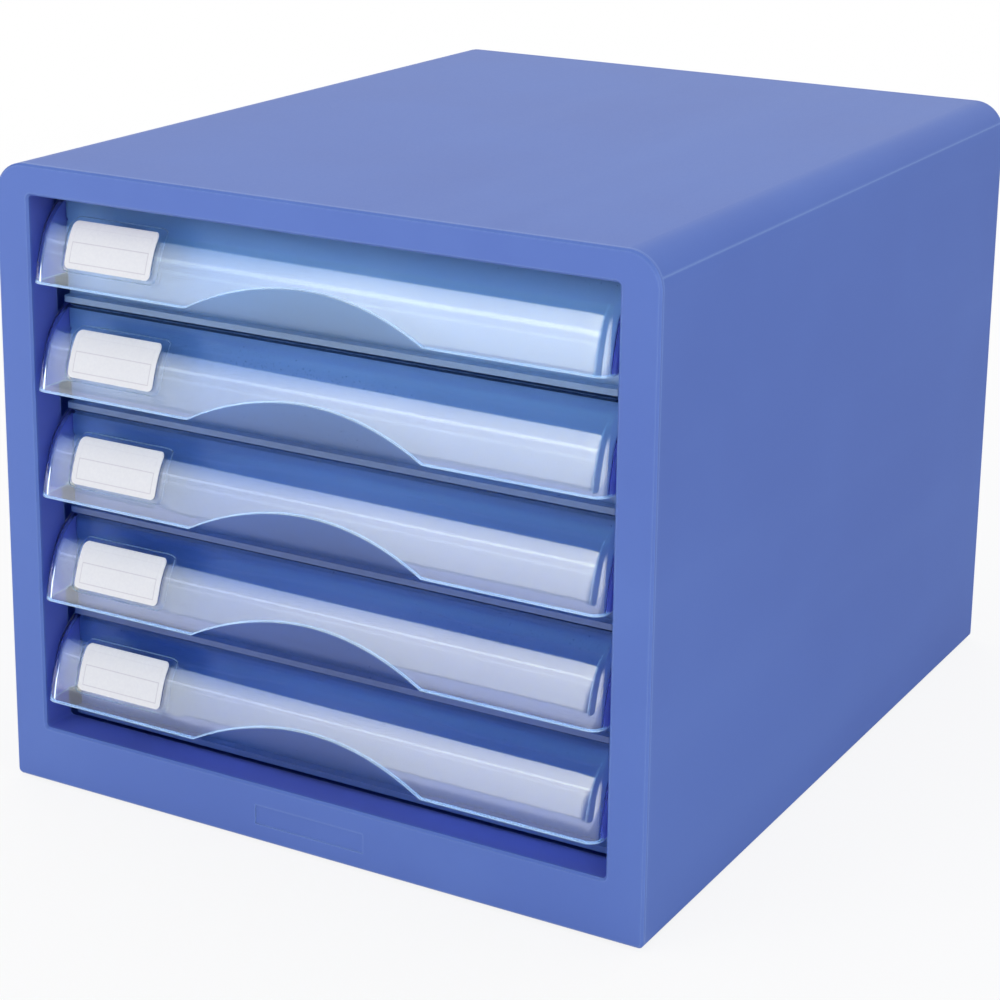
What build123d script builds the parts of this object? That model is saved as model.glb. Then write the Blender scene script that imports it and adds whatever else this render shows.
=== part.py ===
"""Desktop drawer unit: a moulded case with five sliding trays behind clear, bulged fronts."""

import os
from math import asin, cos, pi, radians, sin

from build123d import *

os.makedirs("parts", exist_ok=True)

# All sizes are in millimetres. X runs to the right, Y to the back and Z up.
# The origin is the centre of the whole unit's footprint, on the desk.

# Case
case_width = 280.0
case_depth = 338.0
case_height = 250.0
panel_wall = 2.5
top_corner_radius = 13.0
bottom_corner_radius = 2.0
cover_skirt = 8.8  # from the roof down to the seam between top cover and side panels
joint_clearance = 0.2  # between mouldings that snap together
locating_wall = 1.6
locating_depth = 8.0
base_ledge = 10.0  # flange along the foot of each side panel

# Front frame
frame_wall = 2.0
front_edge_chamfer = 0.85
post_width = 15.2
sill_height = 23.0
header_height = 11.8
opening_corner_radius = 1.6
lip_depth = 15.5
gusset_wall = 1.6
gusset_pitch = 60.0
gusset_count = 4
panel_recess_width = 48.2
panel_recess_height = 7.8
panel_recess_rise = 6.9
panel_recess_depth = 0.4

# Feet
foot_width = 13.0
foot_corner_radius = 2.0
foot_thickness = 1.5
foot_stand = 1.0  # how far the feet hold the case off the desk
foot_side_inset = 30.0
foot_end_inset = 28.0
foot_pocket_clearance = 0.3

# Drawers in the opening
drawer_count = 5
drawer_travel = 240.0
drawer_gap = 1.6  # between one drawer's floor and the front below it
sill_clearance = 3.1
header_clearance = 2.3
seat_gap = 0.3  # between a sliding face and what it rests on or stops at

# Clear fronts
front_proud = 3.0  # how far the lower edge of a front stands out of the case
front_side_gap = 2.2
front_wall = 2.0
front_setback = 17.2  # from the lower edge back to the top edge
belly_height = 17.0  # of the gently curved lower part, up to the bend
belly_radius = 70.0
bend_lean = 22.0  # how far the front leans back at the bend, in degrees
front_end_radius = 5.5
front_end_flats = 3  # that the outside rounding of each end is made of
grip_gap = 10.2  # from the underside of the tray to the lower edge of the front
arch_width = 101.0
arch_rise = 12.7
cheek_lap = 9.5
cheek_corner_radius = 3.0

# Labels
label_width = 39.5
label_height = 16.8
label_thickness = 0.35
label_corner_radius = 2.0
label_left_inset = 15.6  # from the end of the front to the label
label_rise = 7.5
pocket_depth = 0.5
pocket_margin = 1.3
pocket_right_margin = 3.6
label_slack = 0.05  # behind the label

# Trays
tray_wall = 2.0
tray_floor_thickness = 2.3
tray_side_height = 32.0
tray_rear_height = 28.0
tray_rear_radius = 5.0
tray_front_radius = 2.0
tray_floor_chamfer = 2.5
tray_lip_reach = 4.2
tray_lip_side_inset = 1.1
tray_lip_corner_radius = 1.5
tray_wall_setback = 2.5  # from the front's top edge back to the tray's front wall
tray_shoulder = 9.0  # how far the high front wall runs along the sides
tray_shoulder_slope = 14.0
snap_length = 5.0
snap_height = 8.0
snap_rise = 9.0
snap_depth = 1.4
snap_clearance = 0.3

# Runners
flange_gap = 1.0  # between a tray's flange and the side of the opening
flange_wall = 2.0
flange_height = 20.2  # from the tray's underside to the flange's underside
flange_start = 2.0
lug_height = 2.4
lug_length = 8.0
lug_inset = 6.0
runner_gap = 1.0  # between a runner's tip and the tray's wall
runner_tip_wall = 2.0
runner_root_wall = 3.4
runner_lead = 3.0  # from the rear of a front's cheek to the start of the runners
runner_headroom = 0.6
stop_rib_depth = 5.2
stop_rib_wall = 2.0
stop_rib_half_pitch = 70.0
stop_rib_end_gap = 8.0

# Places worked out from the sizes
front_y = -(case_depth - front_proud) / 2
rear_y = front_y + case_depth
floor_z = foot_stand
roof_z = floor_z + case_height
seam_z = roof_z - cover_skirt
middle_z = (floor_z + roof_z) / 2
half_width = case_width / 2
inner_half = half_width - panel_wall
panel_front_y = front_y + frame_wall
panel_length = rear_y - panel_front_y

opening_half = half_width - post_width
opening_bottom_z = floor_z + sill_height
opening_top_z = roof_z - header_height
opening_height = opening_top_z - opening_bottom_z
opening_middle_z = (opening_top_z + opening_bottom_z) / 2

drawer_stack = opening_height - sill_clearance - header_clearance + drawer_gap
drawer_pitch = drawer_stack / drawer_count
drawer_height = drawer_pitch - drawer_gap

cover_half = opening_half - front_side_gap
cover_front_y = front_y - front_proud
cover_height = drawer_height - grip_gap
lean = radians(bend_lean)
foot_lean = asin(sin(lean) - belly_height / belly_radius)
belly_depth = belly_radius * (cos(foot_lean) - cos(lean))
shoulder_depth = front_setback - belly_depth
shoulder_height = cover_height - belly_height
shoulder_sag = shoulder_depth * cos(lean) - shoulder_height * sin(lean)
shoulder_radius = (shoulder_depth**2 + shoulder_height**2) / (2 * shoulder_sag)
arch_radius = (arch_width**2 / 4 + arch_rise**2) / (2 * arch_rise)

tray_half = cover_half - front_wall
tray_front_y = cover_front_y + front_setback + tray_wall_setback
tray_rear_y = rear_y - panel_wall - stop_rib_depth - seat_gap
hook_back_y = tray_front_y + tray_wall
cheek_back_y = tray_front_y + cheek_lap
flange_half = opening_half - flange_gap
flange_front_y = cheek_back_y + flange_start
lug_front_y = tray_rear_y - lug_inset - lug_length
runner_start_y = cheek_back_y + runner_lead
runner_end_y = rear_y - panel_wall - joint_clearance
runner_half = tray_half + runner_gap
keeper_end_y = lug_front_y - drawer_travel - seat_gap
snap_middle_y = (hook_back_y + cheek_back_y) / 2
label_left_x = label_left_inset - cover_half


def upright_plane(y):
    """Plane across the unit at depth y, with X to the right, Z up and its normal to the front."""
    return Plane.XZ.offset(-y)


def case_outline(inset):
    """Outline of the case seen from the front, moved in by inset on all sides."""
    with BuildSketch() as outline:
        with Locations((0, middle_z)):
            Rectangle(case_width - 2 * inset, case_height - 2 * inset)
        top_corners = outline.vertices().group_by(Axis.Y)[-1]
        fillet(top_corners, top_corner_radius - inset)
        if inset < bottom_corner_radius:
            bottom_corners = outline.vertices().group_by(Axis.Y)[0]
            fillet(bottom_corners, bottom_corner_radius - inset)
    return outline.sketch


def tray_underside(number):
    """Height of the underside of a drawer, counted from the top."""
    return opening_bottom_z + sill_clearance + (drawer_count - number) * drawer_pitch


def save(node, name):
    """Label a finished node and write it to its own file."""
    node.part.label = name
    export_step(node.part, f"parts/{name}.step")


outer_outline = case_outline(0)
inner_outline = case_outline(panel_wall)
locating_outline = case_outline(panel_wall + joint_clearance)
locating_inner_outline = case_outline(panel_wall + joint_clearance + locating_wall)
drawers = range(1, drawer_count + 1)

# Front frame: plate, opening lip, locating rim and sill gussets
with BuildPart() as front_frame:
    with BuildSketch(upright_plane(panel_front_y)):
        add(outer_outline)
    extrude(amount=frame_wall)
    with BuildSketch(upright_plane(panel_front_y)):
        add(locating_outline)
        add(locating_inner_outline, mode=Mode.SUBTRACT)
    extrude(amount=-locating_depth)
    with BuildSketch(upright_plane(panel_front_y)):
        with Locations((0, opening_middle_z)):
            RectangleRounded(
                2 * (opening_half + frame_wall),
                opening_height + 2 * frame_wall,
                opening_corner_radius + frame_wall,
            )
    extrude(amount=-(lip_depth - frame_wall))
    gusset_foot_z = floor_z + panel_wall + joint_clearance
    gusset_top_z = opening_bottom_z - frame_wall
    with BuildSketch(upright_plane(panel_front_y)):
        with Locations((0, (gusset_foot_z + gusset_top_z) / 2)):
            with GridLocations(gusset_pitch, 1, gusset_count, 1):
                Rectangle(gusset_wall, gusset_top_z - gusset_foot_z)
    extrude(amount=-locating_depth)
    with BuildSketch(upright_plane(front_y)):
        with Locations((0, opening_middle_z)):
            RectangleRounded(2 * opening_half, opening_height, opening_corner_radius)
    extrude(amount=-lip_depth, mode=Mode.SUBTRACT)
    front_face = front_frame.faces().sort_by(Axis.Y)[0]
    chamfer(front_face.edges(), front_edge_chamfer)
    with BuildSketch(upright_plane(front_y)):
        with Locations((0, floor_z + panel_recess_rise + panel_recess_height / 2)):
            Rectangle(panel_recess_width, panel_recess_height)
    extrude(amount=-panel_recess_depth, mode=Mode.SUBTRACT)
save(front_frame, "front_frame")

# Top cover: roof with rounded edges, and a locating lip inside each side panel
with BuildPart() as top_cover:
    with BuildSketch(upright_plane(panel_front_y)):
        add(outer_outline)
        add(inner_outline, mode=Mode.SUBTRACT)
        with Locations((0, (floor_z + seam_z) / 2)):
            Rectangle(case_width, seam_z - floor_z, mode=Mode.SUBTRACT)
    extrude(amount=-panel_length)
    lip_top_z = roof_z - top_corner_radius / 2
    lip_start_y = panel_front_y + locating_depth + joint_clearance
    lip_end_y = rear_y - panel_wall - joint_clearance
    with BuildSketch(upright_plane(lip_start_y)):
        add(locating_outline)
        add(locating_inner_outline, mode=Mode.SUBTRACT)
        lip_bottom_z = seam_z - locating_depth
        with Locations((0, (lip_bottom_z + lip_top_z) / 2)):
            Rectangle(case_width, lip_top_z - lip_bottom_z, mode=Mode.INTERSECT)
    extrude(amount=lip_start_y - lip_end_y)
    with BuildSketch(upright_plane(lip_start_y)):
        add(inner_outline)
        add(locating_inner_outline, mode=Mode.SUBTRACT)
        with Locations((0, (seam_z + lip_top_z) / 2)):
            Rectangle(case_width, lip_top_z - seam_z, mode=Mode.INTERSECT)
    extrude(amount=lip_start_y - lip_end_y)
save(top_cover, "top_cover")

# Side panels: outer wall, base flange and, for each drawer, a runner with a keeper above it
with BuildPart() as left_side_panel:
    with BuildSketch(upright_plane(panel_front_y)):
        add(outer_outline)
        add(inner_outline, mode=Mode.SUBTRACT)
        with Locations((-half_width, floor_z)):
            Rectangle(
                panel_wall + base_ledge,
                seam_z - floor_z,
                align=(Align.MIN, Align.MIN),
                mode=Mode.INTERSECT,
            )
    extrude(amount=-panel_length)
    for number in drawers:
        seat_z = tray_underside(number) + flange_height - seat_gap
        with BuildSketch(upright_plane(runner_start_y)):
            with BuildLine():
                Polyline(
                    (-inner_half, seat_z),
                    (-runner_half, seat_z),
                    (-runner_half, seat_z - runner_tip_wall),
                    (-inner_half, seat_z - runner_root_wall),
                    close=True,
                )
            make_face()
        extrude(amount=runner_start_y - runner_end_y)
        keeper_z = seat_z + seat_gap + flange_wall + runner_headroom
        with BuildSketch(upright_plane(runner_start_y)):
            with BuildLine():
                Polyline(
                    (-inner_half, keeper_z),
                    (-runner_half, keeper_z),
                    (-runner_half, keeper_z + runner_tip_wall),
                    (-inner_half, keeper_z + runner_root_wall),
                    close=True,
                )
            make_face()
        extrude(amount=runner_start_y - keeper_end_y)
save(left_side_panel, "left_side_panel")

with BuildPart() as right_side_panel:
    mirror(left_side_panel.part, about=Plane.YZ)
save(right_side_panel, "right_side_panel")

# Base panel between the side panels' flanges, with a pocket for each foot
foot_spacing_x = case_width - 2 * foot_side_inset
foot_spacing_y = case_depth - 2 * foot_end_inset
foot_middle_y = (front_y + rear_y) / 2
foot_seat = foot_thickness - foot_stand
with BuildPart() as base_panel:
    with BuildSketch(Plane.XY.offset(floor_z)):
        with Locations((0, (panel_front_y + rear_y) / 2)):
            Rectangle(2 * (inner_half - base_ledge), panel_length)
    extrude(amount=panel_wall)
    with BuildSketch(Plane.XY.offset(floor_z)):
        with Locations((0, foot_middle_y)):
            with GridLocations(foot_spacing_x, foot_spacing_y, 2, 2):
                RectangleRounded(
                    foot_width + 2 * foot_pocket_clearance,
                    foot_width + 2 * foot_pocket_clearance,
                    foot_corner_radius + foot_pocket_clearance,
                )
    extrude(amount=foot_seat, mode=Mode.SUBTRACT)
save(base_panel, "base_panel")

# Feet, each pressed into its pocket in the base panel
for end, end_sign in (("front", -1), ("rear", 1)):
    for side, side_sign in (("left", -1), ("right", 1)):
        with BuildPart() as foot:
            with BuildSketch():
                with Locations(
                    (side_sign * foot_spacing_x / 2, foot_middle_y + end_sign * foot_spacing_y / 2)
                ):
                    RectangleRounded(foot_width, foot_width, foot_corner_radius)
            extrude(amount=foot_thickness)
        save(foot, f"{end}_{side}_foot")

# Back panel inside the shell, with two upright ribs that stop the closed drawers
with BuildPart() as back_panel:
    with BuildSketch(upright_plane(rear_y)):
        add(locating_outline)
    extrude(amount=panel_wall)
    rib_bottom_z = floor_z + panel_wall + stop_rib_end_gap
    rib_top_z = roof_z - panel_wall - stop_rib_end_gap
    with BuildSketch(upright_plane(rear_y - panel_wall)):
        with Locations((0, (rib_bottom_z + rib_top_z) / 2)):
            with GridLocations(2 * stop_rib_half_pitch, 1, 2, 1):
                Rectangle(stop_rib_wall, rib_top_z - rib_bottom_z)
    extrude(amount=stop_rib_depth)
save(back_panel, "back_panel")


def bulged_block(bottom_z, inset, back_y, end_flats=1):
    """Solid block with the shape of a front, moved in by inset: belly, bend and shoulder."""
    low_z = bottom_z - inset
    top_z = bottom_z + cover_height - inset
    block_half = cover_half - inset
    corner = front_end_radius - inset
    turns = [pi / 2 * step / end_flats for step in range(end_flats + 1)]
    right_end = [
        (block_half - corner + corner * cos(turn), inset + corner - corner * sin(turn))
        for turn in turns
    ]
    left_end = [(-x, y) for x, y in reversed(right_end)]
    bend = Plane(
        (0, cover_front_y + belly_depth, bottom_z + belly_height),
        x_dir=(1, 0, 0),
        z_dir=(0, sin(lean), cos(lean)),
    )
    shoulder_axis = Axis(bend.from_local_coords((0, shoulder_radius, 0)), (1, 0, 0))
    belly_axis = Axis(bend.from_local_coords((0, belly_radius, 0)), (1, 0, 0))
    with BuildPart() as block:
        with BuildSketch(bend) as section:
            with BuildLine():
                Polyline(
                    (block_half, shoulder_radius),
                    *right_end,
                    *left_end,
                    (-block_half, shoulder_radius),
                    close=True,
                )
            make_face()
        revolve(axis=shoulder_axis, revolution_arc=-90)
        add(section.sketch)
        revolve(axis=belly_axis, revolution_arc=bend_lean)
        with BuildSketch(Plane.YZ.offset(-block_half)):
            with Locations((tray_front_y, low_z)):
                Rectangle(back_y - tray_front_y, top_z - low_z, align=(Align.MIN, Align.MIN))
        extrude(amount=2 * block_half)
        with BuildSketch(Plane.YZ.offset(-block_half)):
            with Locations((back_y, low_z)):
                Rectangle(back_y - cover_front_y, top_z - low_z, align=(Align.MAX, Align.MIN))
        extrude(amount=2 * block_half, mode=Mode.INTERSECT)
    return block.part


def label_prism(bottom_z, left, right, below, above):
    """Upright rounded prism round the label's place, grown by a margin on each side."""
    width = label_width + left + right
    height = label_height + below + above
    middle_x = label_left_x - left + width / 2
    middle_z = bottom_z + label_rise - below + height / 2
    with BuildPart() as prism:
        with BuildSketch(upright_plane(cover_front_y - front_wall)):
            with Locations((middle_x, middle_z)):
                RectangleRounded(width, height, label_corner_radius + min(left, below))
        extrude(amount=-front_setback)
    return prism.part


# Drawers, counted from the top: tray, clear front and label
for number in drawers:
    underside_z = tray_underside(number)
    cover_bottom_z = underside_z + grip_gap
    cover_top_z = cover_bottom_z + cover_height
    wall_top_z = cover_top_z - front_wall
    side_top_z = underside_z + tray_side_height
    rear_top_z = underside_z + tray_rear_height
    flange_z = underside_z + flange_height
    snap_middle_z = cover_bottom_z + snap_rise
    tray_length = tray_rear_y - tray_front_y
    tray_middle_y = (tray_rear_y + tray_front_y) / 2

    with BuildPart() as tray:
        with BuildSketch(Plane.XY.offset(underside_z)) as outside:
            with Locations((0, tray_middle_y)):
                Rectangle(2 * tray_half, tray_length)
            fillet(outside.vertices().group_by(Axis.Y)[-1], tray_rear_radius)
            fillet(outside.vertices().group_by(Axis.Y)[0], tray_front_radius)
        extrude(amount=wall_top_z - underside_z)
        shoulder_y = tray_front_y + tray_wall + tray_shoulder
        slope_y = shoulder_y + tray_shoulder_slope
        with BuildSketch(Plane.YZ.offset(-cover_half)):
            with BuildLine():
                Polyline(
                    (shoulder_y, cover_top_z),
                    (shoulder_y, wall_top_z),
                    (slope_y, side_top_z),
                    (tray_rear_y - tray_rear_radius, side_top_z),
                    (tray_rear_y - tray_rear_radius, rear_top_z),
                    (tray_rear_y + tray_wall, rear_top_z),
                    (tray_rear_y + tray_wall, cover_top_z),
                    close=True,
                )
            make_face()
        extrude(amount=2 * cover_half, mode=Mode.SUBTRACT)
        with BuildSketch(Plane.XY.offset(underside_z + tray_floor_thickness)) as inside:
            with Locations((0, tray_middle_y)):
                Rectangle(2 * (tray_half - tray_wall), tray_length - 2 * tray_wall)
            fillet(inside.vertices(), tray_rear_radius - tray_wall)
        extrude(amount=cover_height + grip_gap, mode=Mode.SUBTRACT)
        inner_floor = tray.faces().filter_by(Axis.Z).group_by(Axis.Z)[1]
        chamfer(inner_floor.edges(), tray_floor_chamfer)
        with BuildSketch(Plane.XY.offset(underside_z)) as lip:
            lip_width = 2 * (tray_half - tray_lip_side_inset)
            with Locations((0, tray_front_y - tray_lip_reach)):
                Rectangle(lip_width, tray_lip_reach + tray_wall, align=(Align.CENTER, Align.MIN))
            fillet(lip.vertices().group_by(Axis.Y)[0], tray_lip_corner_radius)
        extrude(amount=tray_floor_thickness)
        for side in (-1, 1):
            with BuildSketch(Plane.XY.offset(flange_z)):
                with BuildLine():
                    Polyline(
                        (side * (tray_half - tray_wall / 2), flange_front_y),
                        (side * flange_half, flange_front_y + flange_wall),
                        (side * flange_half, lug_front_y + lug_length),
                        (side * (tray_half - tray_wall / 2), lug_front_y + lug_length),
                        close=True,
                    )
                make_face()
            extrude(amount=flange_wall)
            with BuildSketch(Plane.XY.offset(flange_z + flange_wall)):
                lug_middle_x = side * (flange_half + tray_half - tray_wall / 2) / 2
                with Locations((lug_middle_x, lug_front_y + lug_length / 2)):
                    Rectangle(flange_half - tray_half + tray_wall / 2, lug_length)
            extrude(amount=lug_height)
            with BuildSketch(Plane.XY.offset(snap_middle_z - snap_height / 2)):
                with BuildLine():
                    Polyline(
                        (side * tray_half, snap_middle_y - snap_length / 2),
                        (side * (tray_half + snap_depth), snap_middle_y + snap_length / 2),
                        (side * (tray_half - tray_wall / 2), snap_middle_y + snap_length / 2),
                        (side * (tray_half - tray_wall / 2), snap_middle_y - snap_length / 2),
                        close=True,
                    )
                make_face()
            extrude(amount=snap_height)
    save(tray, f"drawer_{number}_tray")

    outer_block = bulged_block(cover_bottom_z, 0, cheek_back_y, front_end_flats)
    inner_block = bulged_block(cover_bottom_z, front_wall, cheek_back_y + front_wall)
    pocket_block = bulged_block(cover_bottom_z, pocket_depth, cheek_back_y)
    pocket_prism = label_prism(
        cover_bottom_z, pocket_margin, pocket_right_margin, pocket_margin, pocket_margin
    )
    with BuildPart() as pocket:
        add(pocket_prism)
        add(pocket_block, mode=Mode.SUBTRACT)

    with BuildPart() as front:
        add(outer_block)
        add(inner_block, mode=Mode.SUBTRACT)
        for clear_y, clear_height in (
            (tray_front_y, cover_height - front_wall),
            (hook_back_y, cover_height),
        ):
            with BuildSketch(Plane.XY.offset(cover_bottom_z)):
                with Locations((0, clear_y)):
                    Rectangle(2 * tray_half, tray_length, align=(Align.CENTER, Align.MIN))
            extrude(amount=clear_height, mode=Mode.SUBTRACT)
        cheek_corners = front.edges().filter_by(Axis.X).group_by(Axis.Y)[-1]
        fillet(cheek_corners, cheek_corner_radius)
        with BuildSketch(upright_plane(cover_front_y)):
            with Locations((0, cover_bottom_z + arch_rise - arch_radius)):
                Circle(arch_radius)
        extrude(amount=-front_setback, mode=Mode.SUBTRACT)
        with BuildSketch(Plane.YZ.offset(-cover_half)):
            with Locations((snap_middle_y, snap_middle_z)):
                Rectangle(snap_length + 2 * snap_clearance, snap_height + 2 * snap_clearance)
        extrude(amount=2 * cover_half, mode=Mode.SUBTRACT)
        add(pocket.part, mode=Mode.SUBTRACT)
    save(front, f"drawer_{number}_front")

    label_back = pocket_depth - label_slack
    label_back_block = bulged_block(cover_bottom_z, label_back, cheek_back_y)
    label_face_block = bulged_block(cover_bottom_z, label_back - label_thickness, cheek_back_y)
    card_prism = label_prism(cover_bottom_z, 0, 0, 0, 0)
    with BuildPart() as label:
        add(card_prism)
        add(label_face_block, mode=Mode.INTERSECT)
        add(label_back_block, mode=Mode.SUBTRACT)
    save(label, f"drawer_{number}_label")
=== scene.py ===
"""Looks of the desktop drawer unit: blue moulded case, clear bulged drawer fronts, paper labels."""
import math

import bmesh
import bpy
from mathutils import Matrix, Vector


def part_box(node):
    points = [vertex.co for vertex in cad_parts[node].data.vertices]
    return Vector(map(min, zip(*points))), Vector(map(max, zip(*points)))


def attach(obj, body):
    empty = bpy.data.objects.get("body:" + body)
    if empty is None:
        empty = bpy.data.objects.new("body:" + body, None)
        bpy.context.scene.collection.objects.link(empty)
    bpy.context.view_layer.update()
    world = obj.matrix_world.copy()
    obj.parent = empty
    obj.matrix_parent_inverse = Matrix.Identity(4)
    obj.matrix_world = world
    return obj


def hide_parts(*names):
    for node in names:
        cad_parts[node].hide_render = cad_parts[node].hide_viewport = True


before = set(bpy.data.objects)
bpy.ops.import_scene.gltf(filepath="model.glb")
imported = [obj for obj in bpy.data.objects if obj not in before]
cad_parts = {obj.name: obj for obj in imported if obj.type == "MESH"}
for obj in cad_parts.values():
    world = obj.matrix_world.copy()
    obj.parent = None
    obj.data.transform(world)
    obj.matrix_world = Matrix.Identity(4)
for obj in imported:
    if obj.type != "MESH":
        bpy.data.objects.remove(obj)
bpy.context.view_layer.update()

drawer_numbers = range(1, 1 + sum(name.endswith("_tray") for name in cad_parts))

# Corners of the front frame, in metres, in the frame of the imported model
frame_low, frame_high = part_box("front_frame")

# Sizes of a clear front, in metres, as the solids have them
belly_height = 0.0170
belly_radius = 0.0700
bend_lean = math.radians(22.0)
front_setback = 0.0172
front_wall = 0.0020
front_end_radius = 0.0055
arch_width = 0.1010
arch_rise = 0.0127
cheek_lap = 0.0095
cheek_corner_radius = 0.0030
tray_wall = 0.0020
label_rise = 0.0075
pocket_depth = 0.0005
pocket_margin = 0.0013
pocket_right_margin = 0.0036
pocket_corner_radius = 0.0033
window_length = 0.0056
window_rise = 0.0047
window_height = 0.0086

# Fine roundings of a clear front that the solids leave out, in metres
crown_radius = 0.0011
broken_edge = 0.0002

# How finely the mesh of a clear front is divided: places and steps in metres, arcs in parts
rim_rows = (0.0, 0.0005, 0.0014, 0.0026)
crown_margin = 0.0022
row_step = 0.0016
station_step = 0.006
arch_parts = 40
end_parts = 10
crown_parts = 5
pocket_corner_share = 0.62

# These keep stations of the grid from falling together, in metres
roof_clearance = 0.0004
cheek_end_clearance = 0.0006

# These absorb rounding errors, in metres
slack = 1e-6
shortest_edge = 1e-7

plastic_ior = 1.5


def linear(red, green, blue):
    """Colour as seen on a screen, 0 to 255, turned into the linear colour that shaders use."""
    return tuple((value / 255) ** 2.2 for value in (red, green, blue)) + (1.0,)


clear_shade = linear(242, 247, 254)


class Value:
    """A number or vector socket that takes part in Python arithmetic by adding nodes."""

    def __init__(self, finish, socket):
        self.finish = finish
        self.socket = socket

    def maths(self, operation, *others, swap=False):
        terms = [self, *others]
        if swap:
            terms.reverse()
        inputs = dict(enumerate(terms))
        return self.finish.node("ShaderNodeMath", {"operation": operation}, inputs)

    def __add__(self, other):
        return self.maths("ADD", other)

    def __radd__(self, other):
        return self.maths("ADD", other)

    def __sub__(self, other):
        return self.maths("SUBTRACT", other)

    def __rsub__(self, other):
        return self.maths("SUBTRACT", other, swap=True)

    def __mul__(self, other):
        return self.maths("MULTIPLY", other)

    def __rmul__(self, other):
        return self.maths("MULTIPLY", other)

    def __pow__(self, other):
        return self.maths("POWER", other)

    def __abs__(self):
        return self.maths("ABSOLUTE")

    def larger(self, other):
        return self.maths("MAXIMUM", other)

    def smaller(self, other):
        return self.maths("MINIMUM", other)

    def repeated(self, period):
        return self.maths("FLOORED_MODULO", period)

    def fade(self, start, end):
        """Goes smoothly from 0 at start to 1 at end."""
        settings = {"interpolation_type": "SMOOTHSTEP"}
        return self.finish.node("ShaderNodeMapRange", settings, {0: self, 1: start, 2: end})

    def band(self, rise, fall):
        """Fades up over the first pair of values and down again over the second."""
        return self.fade(*rise) * (1.0 - self.fade(*fall))


class Finish:
    """A material, or the world, while its nodes are being made."""

    def __init__(self, owner):
        owner.use_nodes = True
        self.owner = owner
        self.tree = owner.node_tree
        self.tree.nodes.clear()

    def node(self, kind, settings=None, inputs=None, output=0):
        """Adds a node: its settings first, then its sockets' values or links."""
        made = self.tree.nodes.new(kind)
        for name, setting in (settings or {}).items():
            setattr(made, name, setting)
        for name, value in (inputs or {}).items():
            if isinstance(value, Value):
                self.tree.links.new(value.socket, made.inputs[name])
            else:
                made.inputs[name].default_value = value
        if not made.outputs:
            return None
        return Value(self, made.outputs[output])

    def parts(self, vector):
        """A vector as X, Y and Z."""
        split = self.node("ShaderNodeSeparateXYZ", None, {0: vector})
        return [Value(self, socket) for socket in split.socket.node.outputs]

    def place(self):
        """The point's place on the piece, in the frame of the model, whole and as X, Y and Z."""
        point = self.node("ShaderNodeTexCoord", output="Object")
        return point, self.parts(point)

    def ray(self, fact):
        """What Light Path says about the ray."""
        return self.node("ShaderNodeLightPath", output=fact)

    def mirrored(self, ahead):
        """1 for a ray that a surface mirrors, else 0.

        A ray that was mirrored inside clear plastic counts too, if it leaves to where ahead is 1.
        A ray that a matte surface has scattered doesn't.
        """
        bounced = self.ray("Glossy Depth").smaller(1.0)
        leaving = self.ray("Is Transmission Ray") * bounced * ahead
        scattered = self.ray("Diffuse Depth").smaller(1.0)
        return self.ray("Is Glossy Ray").larger(leaving) * (1.0 - scattered)

    def noise(self, point, scale, detail):
        """Noise with about as many spots to a metre as the scale says."""
        inputs = {"Vector": point, "Scale": scale, "Detail": detail}
        return self.node("ShaderNodeTexNoise", None, inputs)

    def vector_maths(self, operation, inputs, output=0):
        return self.node("ShaderNodeVectorMath", {"operation": operation}, inputs, output)

    def stretched(self, point, x, y, z):
        """The point with each direction scaled, for streaks."""
        return self.vector_maths("MULTIPLY", {0: point, 1: (x, y, z)})

    def scaled(self, colour, level):
        """The colour made brighter or darker by a number."""
        return self.vector_maths("SCALE", {0: colour, "Scale": level})

    def mix(self, factor, first, second):
        """Mixes two colours."""
        settings = {"data_type": "RGBA"}
        return self.node("ShaderNodeMix", settings, {0: factor, 6: first, 7: second}, output=2)

    def mottled(self, pattern, first, second):
        """Drifts between two near tints along a noise."""
        return self.mix(pattern.fade(0.3, 0.7), first, second)

    def bump(self, height, strength, distance):
        inputs = {"Height": height, "Strength": strength, "Distance": distance}
        return self.node("ShaderNodeBump", None, inputs)

    def edge_wear(self, radius):
        """1 on an edge sharper than the radius and 0 on flats."""
        soft = self.node("ShaderNodeBevel", {"samples": 4}, {"Radius": radius})
        true = self.node("ShaderNodeNewGeometry", output="Normal")
        alike = self.vector_maths("DOT_PRODUCT", {0: soft, 1: true}, output="Value")
        return (1.0 - alike).fade(0.01, 0.25)

    def surface(self, inputs, shade_tint=None):
        """Ends the finish; a clear one lets the lamps through, coloured by its shade tint."""
        shader = self.node("ShaderNodeBsdfPrincipled", None, inputs)
        if shade_tint is not None:
            through = self.node("ShaderNodeBsdfTransparent", None, {"Color": shade_tint})
            shadow = self.ray("Is Shadow Ray")
            shader = self.node("ShaderNodeMixShader", None, {0: shadow, 1: shader, 2: through})
        self.node("ShaderNodeOutputMaterial", None, {"Surface": shader})
        return self.owner


def new_finish(name):
    return Finish(bpy.data.materials.new(name))


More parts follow.
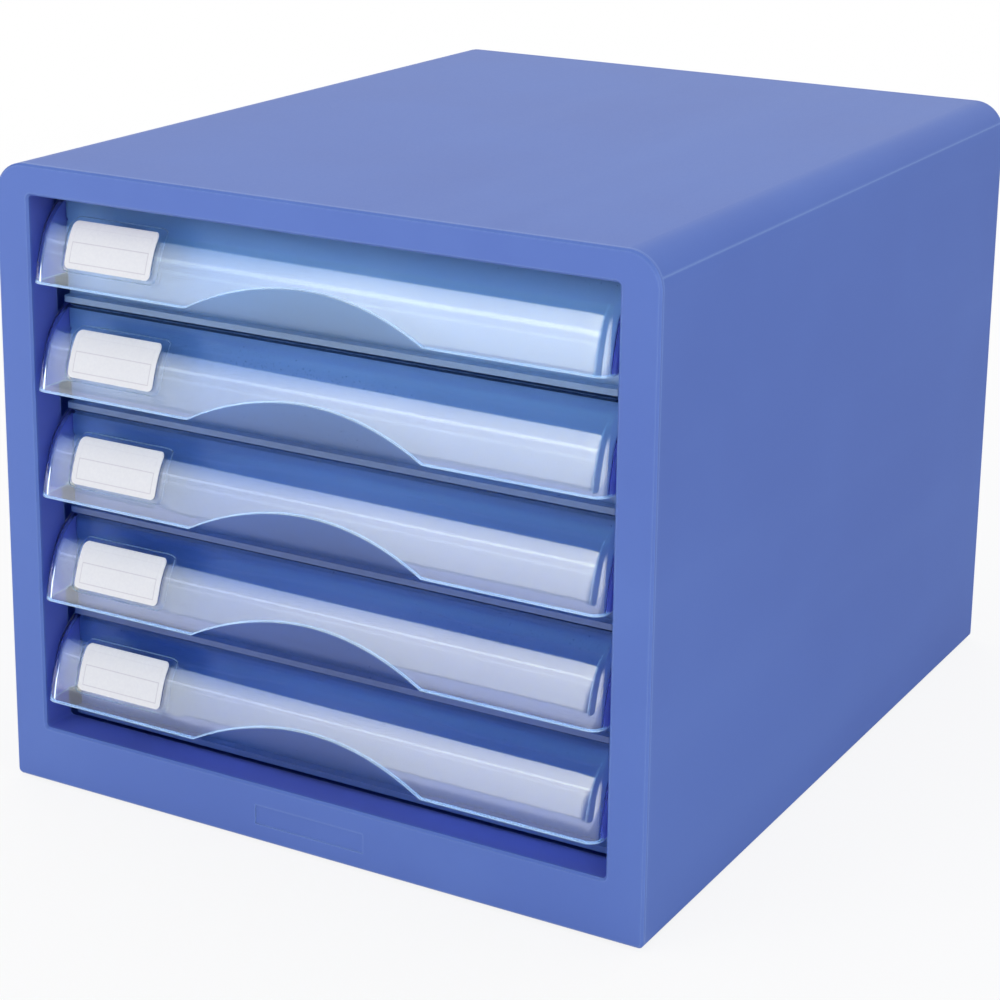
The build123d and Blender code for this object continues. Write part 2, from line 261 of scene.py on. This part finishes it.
def moulded_case_blue():
    """Satin blue styrene with a fine spark-eroded grain, faint flow marks, and edges that are
    lightened partly as wear and partly as a painted highlight.

    The faces in the opening of the front frame get a painted violet shade, for the shade that falls
    in that recess.
    """
    finish = new_finish("moulded_case_blue")
    point, (x, y, z) = finish.place()
    _, (front_side, _, front_top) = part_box("drawer_1_front")
    in_depth = (y - frame_low[1]).band((0.0004, 0.003), (0.02, 0.05))
    in_width = 1.0 - abs(x).fade(front_side + 0.005, front_side + 0.009)
    in_height = 1.0 - z.fade(front_top + 0.004, front_top + 0.008)
    opening_shade_mask = in_depth * in_width * in_height
    cloud = finish.noise(point, scale=9.0, detail=3.0)
    flow = finish.noise(finish.stretched(point, x=22.0, y=1.6, z=22.0), scale=1.0, detail=4.0)
    grain = finish.noise(point, scale=1500.0, detail=2.0)
    wear_and_highlight = finish.edge_wear(radius=0.0012)
    flow_mark = linear(98, 127, 202)
    painted_shade_violet = linear(84, 84, 190)
    worn_and_highlit_edge = linear(152, 182, 228)
    body = finish.mottled(cloud, linear(86, 113, 191), linear(90, 118, 196))
    body = finish.mix(flow.fade(0.45, 0.75) * 0.25, body, flow_mark)
    # Painted shade: faces in the frame's opening are mixed halfway towards violet
    body = finish.mix(opening_shade_mask * 0.5, body, painted_shade_violet)
    # Edges lightened partly as real wear and partly as a painted highlight along them
    body = finish.mix(wear_and_highlight * 0.5, body, worn_and_highlit_edge)
    height = grain * 0.7 + flow * 0.3
    return finish.surface(
        {
            "Base Color": body,
            "Roughness": 0.40 + 0.10 * grain + 0.05 * cloud - 0.10 * wear_and_highlight,
            "IOR": plastic_ior,
            "Specular IOR Level": 0.35,
            "Normal": finish.bump(height, strength=0.12, distance=0.0002),
        }
    )


def clear_front_plastic():
    """Clear styrene with a blue tint, polished, with hair-fine handling scratches."""
    finish = new_finish("clear_front_plastic")
    point, _ = finish.place()
    cloud = finish.noise(point, scale=14.0, detail=3.0)
    hairs = finish.stretched(point, x=60.0, y=900.0, z=900.0)
    scratches = finish.noise(hairs, scale=1.0, detail=2.0).fade(0.6, 0.8)
    return finish.surface(
        {
            "Base Color": finish.mottled(cloud, linear(219, 234, 254), linear(223, 237, 255)),
            "Roughness": 0.015 + 0.015 * scratches + 0.005 * cloud,
            "IOR": plastic_ior,
            "Transmission Weight": 1.0,
        },
        shade_tint=clear_shade,
    )


def clear_rim_plastic():
    """The clear plastic where it is cut or stepped, painted pale and half milky as a painted
    highlight for the light its rims gather.
    """
    finish = new_finish("clear_rim_plastic")
    point, _ = finish.place()
    cloud = finish.noise(point, scale=30.0, detail=3.0)
    rub = finish.noise(point, scale=700.0, detail=2.0)
    return finish.surface(
        {
            # Pale tint on the rims: a painted highlight
            "Base Color": finish.mottled(cloud, linear(170, 204, 240), linear(188, 217, 246)),
            "Roughness": 0.12 + 0.10 * rub,
            "IOR": plastic_ior,
            "Transmission Weight": 0.45,
            "Normal": finish.bump(rub, strength=0.05, distance=0.0001),
        },
        shade_tint=clear_shade,
    )


def clear_cheek_plastic():
    """The clear plastic of the end cheeks, half milky and painted violet as painted shade, for the
    shaded gap and wall behind them.
    """
    finish = new_finish("clear_cheek_plastic")
    point, _ = finish.place()
    cloud = finish.noise(point, scale=40.0, detail=3.0)
    rub = finish.noise(point, scale=600.0, detail=2.0)
    return finish.surface(
        {
            # Violet tint on the cheeks: painted shade
            "Base Color": finish.mottled(cloud, linear(128, 136, 230), linear(138, 150, 236)),
            "Roughness": 0.05 + 0.05 * rub,
            "IOR": plastic_ior,
            "Transmission Weight": 0.5,
        },
        shade_tint=linear(225, 230, 252),
    )


def smoky_tray_plastic():
    """Smoky blue styrene of the trays, half clear, with a faint moulding flow.

    The front plates carry painted light and shade by height: darker and more violet low down as
    painted shade, paler and more cyan at the top of the unit as painted light; the tray behind them
    has one tone.
    """
    finish = new_finish("smoky_tray_plastic")
    point, (_, y, z) = finish.place()
    flow = finish.noise(finish.stretched(point, x=4.0, y=26.0, z=26.0), scale=1.0, detail=4.0)
    grain = finish.noise(point, scale=1200.0, detail=2.0)
    drift = flow.fade(0.35, 0.7)
    # Painted light and shade by height: low front plates darker, high ones paler
    rise = z.fade(frame_low[2], frame_high[2]) ** 3.2
    deep = finish.mix(drift, linear(64, 92, 160), linear(72, 100, 166))
    pale = finish.mix(drift, linear(130, 168, 208), linear(138, 175, 213))
    inside = finish.mix(drift, linear(92, 126, 184), linear(100, 134, 190))
    behind_plate = (y - frame_low[1]).fade(0.022, 0.05)
    return finish.surface(
        {
            "Base Color": finish.mix(behind_plate, finish.mix(rise, deep, pale), inside),
            "Roughness": 0.22 + 0.10 * grain + 0.06 * flow,
            "IOR": plastic_ior,
            "Transmission Weight": 0.4,
            "Normal": finish.bump(grain, strength=0.06, distance=0.0002),
        },
        shade_tint=linear(190, 210, 245),
    )


def label_paper():
    """White card with a thin printed box and a rule across it, the same on each label."""
    finish = new_finish("label_paper")
    point, (x, _, z) = finish.place()
    first_low, first_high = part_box("drawer_1_label")
    second_low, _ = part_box("drawer_2_label")
    pitch = first_low[2] - second_low[2]
    middle_x = (first_low[0] + first_high[0]) / 2
    half_x = (first_high[0] - first_low[0]) / 2
    half_z = (first_high[2] - first_low[2]) / 2
    margin = 0.0022
    line_half = 0.00012
    line_soft = 0.00012
    box_soft = 0.0001
    rule_rise = 0.0012
    rule_soft = 0.0002
    top_fading = 0.85
    print_strength = 0.45

    def line(distance):
        """1 on a printed line, by the distance from its middle."""
        return 1.0 - abs(distance).fade(line_half, line_half + line_soft)

    rise = (z - (first_low[2] - pitch)).repeated(pitch) - half_z
    across = abs(x - middle_x)
    box = (across - (half_x - margin)).larger(abs(rise) - (half_z - margin))
    over_rule = rise - rule_rise
    rule = line(over_rule) * (1.0 - box.fade(-box_soft, box_soft))
    printed = (line(box) * (1.0 - top_fading * over_rule.fade(0.0, rule_soft))).larger(rule)
    fibre = finish.noise(point, scale=900.0, detail=4.0)
    cloud = finish.noise(point, scale=60.0, detail=2.0)
    shade = linear(232, 233, 241)
    ink = linear(186, 180, 196)
    card = finish.mottled(fibre, linear(238, 238, 244), linear(242, 242, 247))
    card = finish.mix(cloud.fade(0.4, 0.8) * 0.2, card, shade)
    return finish.surface(
        {
            "Base Color": finish.mix(printed * print_strength, card, ink),
            "Roughness": 0.55 + 0.15 * fibre,
            "Normal": finish.bump(fibre, strength=0.08, distance=0.00005),
        }
    )


def foot_rubber():
    """Dark grey rubber of the feet."""
    finish = new_finish("foot_rubber")
    point, _ = finish.place()
    grain = finish.noise(point, scale=1400.0, detail=3.0)
    return finish.surface(
        {
            "Base Color": finish.mix(grain, linear(38, 38, 42), linear(56, 56, 60)),
            "Roughness": 0.7 + 0.2 * grain,
            "Normal": finish.bump(grain, strength=0.3, distance=0.0002),
        }
    )


def new_object(name, data):
    """Puts an object with this data into the scene."""
    made = bpy.data.objects.new(name, data)
    bpy.context.scene.collection.objects.link(made)
    return made


def refined(stops, step):
    """The stops in rising order, with each gap divided evenly so that none is over the step."""
    stops = sorted(stops)
    fine = []
    for start, end in zip(stops, stops[1:]):
        parts = math.ceil((end - start) / step - slack)
        fine.extend(start + (end - start) * part / parts for part in range(parts))
    return fine + [stops[-1]]


class ClearFront:
    """Mesh of one clear front: a bulged shell with cheeks, arch, roof and label pocket.

    It is a grid of stations from the back of the left cheek round to the back of the right one,
    and of rows from the lower edge up. Each crossing has a point on the outer face, one on the
    floor of the label pocket and one on the inner face.
    """

    outer, sunk, inner = range(3)
    insets = (0.0, pocket_depth, front_wall)

    # The places of the finishes in the list that a cover gets
    wall_finish, rim_finish, cheek_finish = range(3)

    def __init__(self, number):
        low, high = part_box(f"drawer_{number}_front")
        label_low, label_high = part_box(f"drawer_{number}_label")
        self.low = low
        self.half = high[0]
        self.height = high[2] - low[2]
        self.cheek_back = high[1] - low[1]
        self.hook = self.cheek_back - cheek_lap + tray_wall
        self.pocket_x = (label_low[0] - pocket_margin, label_high[0] + pocket_right_margin)
        pocket_top = label_rise + label_high[2] - label_low[2] + pocket_margin
        self.pocket_z = (label_rise - pocket_margin, pocket_top)
        window_middle = (self.hook + self.cheek_back) / 2
        self.window_y = (window_middle - window_length / 2, window_middle + window_length / 2)
        self.window_z = (window_rise, window_rise + window_height)
        self.set_bend()
        self.set_rows()
        self.set_stations()

    def set_bend(self):
        """Radii and centres of the belly and of the tighter shoulder above it."""
        foot = math.asin(math.sin(bend_lean) - belly_height / belly_radius)
        belly_depth = belly_radius * (math.cos(foot) - math.cos(bend_lean))
        depth = front_setback - belly_depth
        rise = self.height - belly_height
        sag = depth * math.cos(bend_lean) - rise * math.sin(bend_lean)
        shoulder_radius = (depth**2 + rise**2) / (2 * sag)
        self.arcs = [
            (
                radius,
                belly_depth + radius * math.cos(bend_lean),
                belly_height - radius * math.sin(bend_lean),
            )
            for radius in (belly_radius, shoulder_radius)
        ]

    def depth(self, height, inset):
        """How far behind the foremost line the face lies, at a height over the lower edge."""
        above_bend = height > belly_height - inset * math.sin(bend_lean)
        radius, middle_depth, middle_height = self.arcs[above_bend]
        depth = middle_depth - math.sqrt((radius - inset) ** 2 - (height - middle_height) ** 2)
        crown = 0.0
        if inset < front_wall:
            crown = min(max(0.0, height - (self.height - crown_radius)), crown_radius)
        return depth + crown_radius - math.sqrt(crown_radius**2 - crown**2)

    @staticmethod
    def pocket_stops(low, high):
        """Where the grid is cut over one side of the label pocket with its rounded corners."""
        corner = pocket_corner_radius
        soft = pocket_corner_share * corner
        return [low, low + soft, low + corner, high - corner, high - soft, high]

    def set_rows(self):
        """Heights of the rows; the lower ones are squeezed over the arch."""
        self.squeeze_top = self.pocket_z[1] - pocket_corner_radius
        stops = [*rim_rows, *self.window_z, *self.pocket_stops(*self.pocket_z)]
        stops += [self.height - crown_margin, self.height]
        turns = [math.radians(90 * part / crown_parts) for part in range(crown_parts)]
        stops += [self.height - crown_radius * (1 - math.sin(turn)) for turn in turns]
        self.rows = refined(stops, row_step)

    def set_stations(self):
        """Kind, side and place of each station: X across, a turn in a corner, depth on a cheek."""
        flat_half = self.half - front_end_radius
        stops = [-flat_half, flat_half, *self.pocket_stops(*self.pocket_x)]
        stops += [arch_width * (part / arch_parts - 0.5) for part in range(arch_parts + 1)]
        middle = [("across", 1 if x > 0 else -1, x) for x in refined(stops, station_step)]
        turns = [math.radians(90 * part / end_parts) for part in range(1, end_parts + 1)]
        right = [("corner", 1, turn) for turn in turns]
        right += [("cheek", 1, self.hook), ("cheek behind", 1, self.hook)]
        right += [("cheek behind", 1, depth) for depth in self.window_y]
        right.append(("cheek end", 1, self.cheek_back))
        left = [(kind, -1, value) for kind, _, value in reversed(right)]
        self.stations = left + middle + right

    def arch(self, station):
        """Height of the lower edge."""
        kind, _, x = station
        if kind != "across" or abs(x) >= arch_width / 2:
            return 0.0
        radius = (arch_width**2 / 4 + arch_rise**2) / (2 * arch_rise)
        return arch_rise - radius + math.sqrt(radius**2 - x**2)

    def point(self, station, row, level):
        """Point of the grid; the last row is the back edge of the roof."""
        kind, side, value = station
        inset = self.insets[level]
        behind = kind in ("cheek behind", "cheek end")
        height = self.rows[min(row, len(self.rows) - 1)]
        if height < self.squeeze_top:
            foot = self.arch(station)
            height = foot + height * (1 - foot / self.squeeze_top)
        elif level == self.inner:
            share = (height - self.squeeze_top) / (self.height - self.squeeze_top)
            height = self.squeeze_top + share * (self.height - front_wall - self.squeeze_top)
        front = self.depth(height, inset)
        end = front_end_radius - inset
        reach = min(end, self.hook - roof_clearance - front)
        half = self.half - inset
        if kind == "across":
            x, y = value, front
            x, height = self.round_pocket(x, height)
        elif kind == "corner":
            x = side * (half - end + end * math.sin(value))
            y = front + reach * (1 - math.cos(value))
        else:
            x, y = side * half, self.along_cheek(station, height)
        if row == len(self.rows):
            height = self.height
            if level == self.inner and not behind:
                height -= front_wall
            if kind == "across":
                y = self.hook
            elif kind == "corner":
                wide = front_end_radius - front_wall
                x = side * (self.half - front_end_radius + wide * value / math.radians(90))
                y = self.hook
            else:
                x = side * (self.half - front_wall)
                y = self.along_cheek(station, self.height)
        return Vector((x, self.low[1] + y, self.low[2] + height))

    def along_cheek(self, station, height):
        """How far back a station of the cheeks lies; the back corners are rounded."""
        kind, _, value = station
        edge = min(height, self.height - height, cheek_corner_radius)
        drop = math.sqrt(cheek_corner_radius**2 - (cheek_corner_radius - edge) ** 2)
        end = self.cheek_back - cheek_corner_radius + drop
        if kind == "cheek end":
            return end
        return min(value, end - cheek_end_clearance)

    def round_pocket(self, x, height):
        """Brings the points at the corners of the label pocket onto its roundings."""
        corner = pocket_corner_radius
        (left, right), (low, high) = self.pocket_x, self.pocket_z
        if not (left <= x <= right and low <= height <= high):
            return x, height
        middle_x = min(max(x, left + corner), right - corner)
        middle_z = min(max(height, low + corner), high - corner)
        reach = math.hypot(x - middle_x, height - middle_z)
        share = corner / max(reach, corner)
        return middle_x + (x - middle_x) * share, middle_z + (height - middle_z) * share

    def kind_of_cell(self, column, row):
        """What lies between a station and the next one, and a row and the next one."""
        if not (0 <= column < len(self.stations) - 1 and 0 <= row < len(self.rows)):
            return "none"
        first, second = self.stations[column], self.stations[column + 1]
        height = self.rows[row]
        if first[0] == second[0] == "across":
            in_width = self.pocket_x[0] - slack < first[2] < self.pocket_x[1] - slack
            in_height = self.pocket_z[0] - slack < height < self.pocket_z[1] - slack
            return "pocket" if in_width and in_height else "wall"
        if first[0] == second[0] == "cheek behind" and first[2] != second[2]:
            in_length = self.hook + slack < min(first[2], second[2])
            in_height = self.window_z[0] - slack < height < self.window_z[1] - slack
            return "none" if in_length and in_height else "wall"
        return "wall"

    def finish_of_cell(self, column, row):
        """The lowest row is rim, and what reaches onto a cheek is cheek."""
        if row == 0:
            return self.rim_finish
        kinds = {self.stations[column][0], self.stations[column + 1][0]}
        return self.wall_finish if kinds <= {"across", "corner"} else self.cheek_finish

    def add_cell(self, shell, grid, column, row):
        """Faces of one cell of the grid, with the steps to what lies beside it."""
        kind = self.kind_of_cell(column, row)
        if kind == "none":
            return
        face_level = self.sunk if kind == "pocket" else self.outer
        loop = [(column, row), (column + 1, row), (column + 1, row + 1), (column, row + 1)]
        faces = [
            shell.faces.new([grid[(*place, face_level)] for place in loop]),
            shell.faces.new([grid[(*place, self.inner)] for place in reversed(loop)]),
        ]
        for face in faces:
            face.material_index = self.finish_of_cell(column, row)
        beside = [(column, row - 1), (column + 1, row), (column, row + 1), (column - 1, row)]
        for index, neighbour in enumerate(beside):
            other = self.kind_of_cell(*neighbour)
            if other == "none":
                near, far = face_level, self.inner
            elif kind == "pocket" and other == "wall":
                near, far = self.sunk, self.outer
            else:
                continue
            start, end = loop[index], loop[(index + 1) % len(loop)]
            corners = [(*end, near), (*start, near), (*start, far), (*end, far)]
            step = shell.faces.new([grid[corner] for corner in corners])
            on_rim = row == 0 or kind == "pocket"
            step.material_index = self.rim_finish if on_rim else self.wall_finish

    def mesh(self, name):
        shell = bmesh.new()
        columns, rows = range(len(self.stations)), range(len(self.rows) + 1)
        grid = {
            (column, row, level): shell.verts.new(self.point(self.stations[column], row, level))
            for column in columns
            for row in rows
            for level in (self.outer, self.sunk, self.inner)
        }
        for column in columns[:-1]:
            for row in rows[:-1]:
                self.add_cell(shell, grid, column, row)
        loose = [vertex for vertex in shell.verts if not vertex.link_faces]
        bmesh.ops.delete(shell, geom=loose, context="VERTS")
        bmesh.ops.remove_doubles(shell, verts=shell.verts, dist=slack)
        bmesh.ops.dissolve_degenerate(shell, edges=shell.edges, dist=shortest_edge)
        bmesh.ops.recalc_face_normals(shell, faces=shell.faces)
        mesh = bpy.data.meshes.new(name)
        shell.to_mesh(mesh)
        shell.free()
        mesh.shade_smooth()
        mesh.set_sharp_from_angle(angle=math.radians(30))
        return mesh


def clear_cover(number, materials):
    """Clear front of a drawer, with its edges broken."""
    name = f"drawer_{number}_clear_cover"
    cover = new_object(name, ClearFront(number).mesh(name))
    for material in materials:
        cover.data.materials.append(material)
    bevel = cover.modifiers.new("broken_edges", "BEVEL")
    bevel.width = broken_edge
    bevel.segments = 2
    bevel.limit_method = "ANGLE"
    bevel.angle_limit = math.radians(40)
    bevel.harden_normals = True
    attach(cover, f"drawer_{number}")
    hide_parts(f"drawer_{number}_front")


def dress(node, material):
    """Gives a CAD node its finish."""
    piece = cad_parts[node]
    piece.data.materials.clear()
    piece.data.materials.append(material)


def drawer_unit():
    """Finishes of the whole unit, and the clear fronts."""
    case_blue = moulded_case_blue()
    clear_plastic = (clear_front_plastic(), clear_rim_plastic(), clear_cheek_plastic())
    smoky_tray = smoky_tray_plastic()
    paper = label_paper()
    rubber = foot_rubber()
    panels = ("top_cover", "left_side_panel", "right_side_panel", "base_panel", "back_panel")
    for node in ("front_frame", *panels):
        dress(node, case_blue)
    for foot in ("front_left_foot", "front_right_foot", "rear_left_foot", "rear_right_foot"):
        dress(foot, rubber)
    for number in drawer_numbers:
        dress(f"drawer_{number}_tray", smoky_tray)
        clear_cover(number, clear_plastic)
        dress(f"drawer_{number}_label", paper)


def studio_floor():
    """Large pale floor that meets the white background and keeps the unit's shadow.

    What the unit mirrors of it is darker under the unit's front and brighter further ahead.
    """
    half_size = 6.0
    glow = 0.86
    shade_under_front = 0.7
    gain_ahead = 1.5
    gain_further_ahead = 2.3
    corners = [
        (-half_size, -half_size, 0),
        (half_size, -half_size, 0),
        (half_size, half_size, 0),
        (-half_size, half_size, 0),
    ]
    mesh = bpy.data.meshes.new("studio_floor")
    mesh.from_pydata(corners, [], [(0, 1, 2, 3)])
    floor = new_object("studio_floor", mesh)
    finish = new_finish("studio_floor")
    point, (_, y, _) = finish.place()
    ahead = frame_low[1] - y
    mirrored = finish.mirrored(ahead.fade(0.0, 0.02))
    table_gain = ahead.fade(0.3, 0.75) * gain_further_ahead + ahead.fade(-0.02, 0.02) * gain_ahead
    table_gain = table_gain - shade_under_front
    grain = finish.noise(point, scale=40.0, detail=2.0)
    paint = finish.mix(grain, linear(238, 238, 240), linear(241, 241, 243))
    matte = finish.node("ShaderNodeBsdfDiffuse", None, {"Color": paint})
    level = finish.scaled((1, 1, 1), 1.0 + mirrored * table_gain)
    white = finish.node("ShaderNodeEmission", None, {"Color": level})
    camera_ray = finish.ray("Is Camera Ray")
    seen = camera_ray.larger(finish.ray("Is Transmission Ray")).larger(finish.ray("Is Glossy Ray"))
    distance = finish.vector_maths("LENGTH", {0: point}, output="Value")
    far = camera_ray * distance.fade(0.3, 1.5)
    white_share = seen * glow + far * (1.0 - glow)
    blended = finish.node("ShaderNodeMixShader", None, {0: white_share, 1: matte, 2: white})
    finish.node("ShaderNodeOutputMaterial", None, {"Surface": blended})
    mesh.materials.append(finish.owner)


def studio_world():
    """White for the camera, one level for matte surfaces, and a room that only gloss mirrors.

    The room has a board at the front left with two soft streaks, a light at the front right, a
    table, a narrow cyan gap beside the board, and a dark ceiling that is lighter straight above.
    Clear plastic mirrors only a few percent of what it faces, so the room's levels are over 1.
    Azimuth is in radians, 0 straight ahead of the unit and negative to the user's left, and z is
    the sine of the elevation.
    """
    ambient = 0.68
    backdrop_level = 0.3
    backdrop_gain = 0.9
    ceiling_level = 0.12
    zenith_gain = 0.6
    board_level = 1.7
    board_gain = 6.0
    table_level = 3.0
    right_level = 5.5
    gap_gain = 4.0
    inside_gain = 2.9
    world = bpy.data.worlds.new("studio_world")
    bpy.context.scene.world = world
    finish = Finish(world)
    x, y, z = finish.parts(finish.node("ShaderNodeTexCoord", output="Generated"))
    azimuth = x.maths("ARCTAN2", 0.0 - y)
    behind = y.fade(-0.05, 0.05)
    mirrored = finish.mirrored(1.0 - behind)
    through = finish.ray("Is Transmission Ray")
    inside = through * finish.ray("Diffuse Depth").smaller(1.0) * (1.0 - behind)
    white = finish.ray("Is Camera Ray").larger(through)

    def streak(height, core, edge):
        """1 on a level line of the board, out to its core, and 0 from its edge."""
        return 1.0 - abs(z - height).fade(core, edge)

    backdrop = backdrop_level + backdrop_gain * y.fade(0.1, 0.6) * (1.0 - x.fade(-0.1, 0.5))
    ceiling = z.fade(0.3, 0.6)
    zenith = z.fade(0.72, 0.92)
    plain = backdrop * (1.0 - ceiling) + ceiling_level * ceiling + zenith_gain * zenith
    over_table = z.fade(0.0, 0.012)
    over_board = z.fade(0.62, 0.64)
    table = table_level * (1.0 - over_table)
    high_streak = 0.4 * streak(height=0.345, core=0.008, edge=0.035)
    low_streak = 0.15 * streak(height=0.25, core=0.005, edge=0.02)
    streaks = high_streak + low_streak
    nearness = azimuth.fade(-1.05, -0.35)
    board = (board_level + board_gain * nearness) * (0.72 + 0.24 * z.fade(0.0, 0.4) + streaks)
    board = board * over_table * (1.0 - over_board)
    front_left = azimuth.band((-1.09, -1.0), (-0.4, -0.36))
    front_right = azimuth.band((0.54, 0.6), (1.55, 1.65))
    gap = azimuth.band((-0.36, -0.33), (-0.27, -0.24)) * (1.0 - z.fade(0.85, 0.95))
    room = plain + front_left * (board + table) + front_right * right_level * (1.0 - ceiling)
    room = room + gap * gap_gain
    level = ambient + white * (1.0 - ambient)
    level = level + mirrored * (room - level) + inside * inside_gain

    far_left_blue = (0.5, 0.68, 0.95, 1)
    board_cream = (1.0, 0.97, 0.76, 1)
    behind_cream = (1.0, 1.0, 0.95, 1)
    over_board_cyan = (0.35, 0.9, 1.0, 1)
    gap_cyan = (0.5, 0.9, 1.0, 1)
    inside_blue = (0.8, 0.9, 1.0, 1)
    from_board = azimuth.fade(-1.0, -0.45).larger(behind)
    room_colour = finish.mix(from_board, far_left_blue, board_cream)
    room_colour = finish.mix(behind, room_colour, behind_cream)
    room_colour = finish.mix(over_board, room_colour, over_board_cyan)
    room_colour = finish.mix(gap, room_colour, gap_cyan)
    colour = finish.mix(mirrored, (1, 1, 1, 1), room_colour)
    colour = finish.mix(inside, colour, inside_blue)
    light = finish.node("ShaderNodeBackground", None, {"Color": finish.scaled(colour, level)})
    finish.node("ShaderNodeOutputWorld", None, {"Surface": light})


def area_light(name, place, size, power, colour=(1.0, 1.0, 1.0)):
    """Soft square lamp, aimed at the unit, that gives light but shows in no reflection."""
    unit_middle = Vector((0.0, 0.0, 0.12))
    data = bpy.data.lights.new(name, "AREA")
    data.size = size
    data.energy = power
    data.color = colour
    lamp = new_object(name, data)
    lamp.location = place
    lamp.rotation_euler = (unit_middle - Vector(place)).to_track_quat("-Z", "Y").to_euler()
    lamp.visible_camera = False
    lamp.visible_transmission = False
    lamp.visible_glossy = False


def studio_lights():
    """A key lamp at the front left, a top lamp, and a cooler fill from the right."""
    area_light("key_lamp", place=(-1.1, -2.0, 1.5), size=1.6, power=10.3)
    area_light("top_lamp", place=(-0.2, 0.4, 2.4), size=2.0, power=12.0)
    area_light("fill_lamp", place=(2.2, -0.6, 1.0), size=1.6, power=9.5, colour=(0.76, 0.9, 1.0))


def camera():
    """Camera at the photograph's angle, from the front right and a little above."""
    data = bpy.data.cameras.new("camera")
    data.sensor_width = 36.0
    data.lens = 90.18
    data.shift_x = -0.04
    data.shift_y = -0.19
    view = new_object("camera", data)
    forward = Vector((-0.46518, 0.84806, -0.25379))
    roll = math.radians(0.97)
    aim = forward.to_track_quat("-Z", "Y").to_matrix() @ Matrix.Rotation(roll, 3, "Z")
    view.location = (0.48498, -0.87838, 0.43861)
    view.rotation_euler = aim.to_euler()
    bpy.context.scene.camera = view


drawer_unit()
studio_floor()
studio_world()
studio_lights()
camera()
bpy.context.scene.view_settings.view_transform = "Standard"
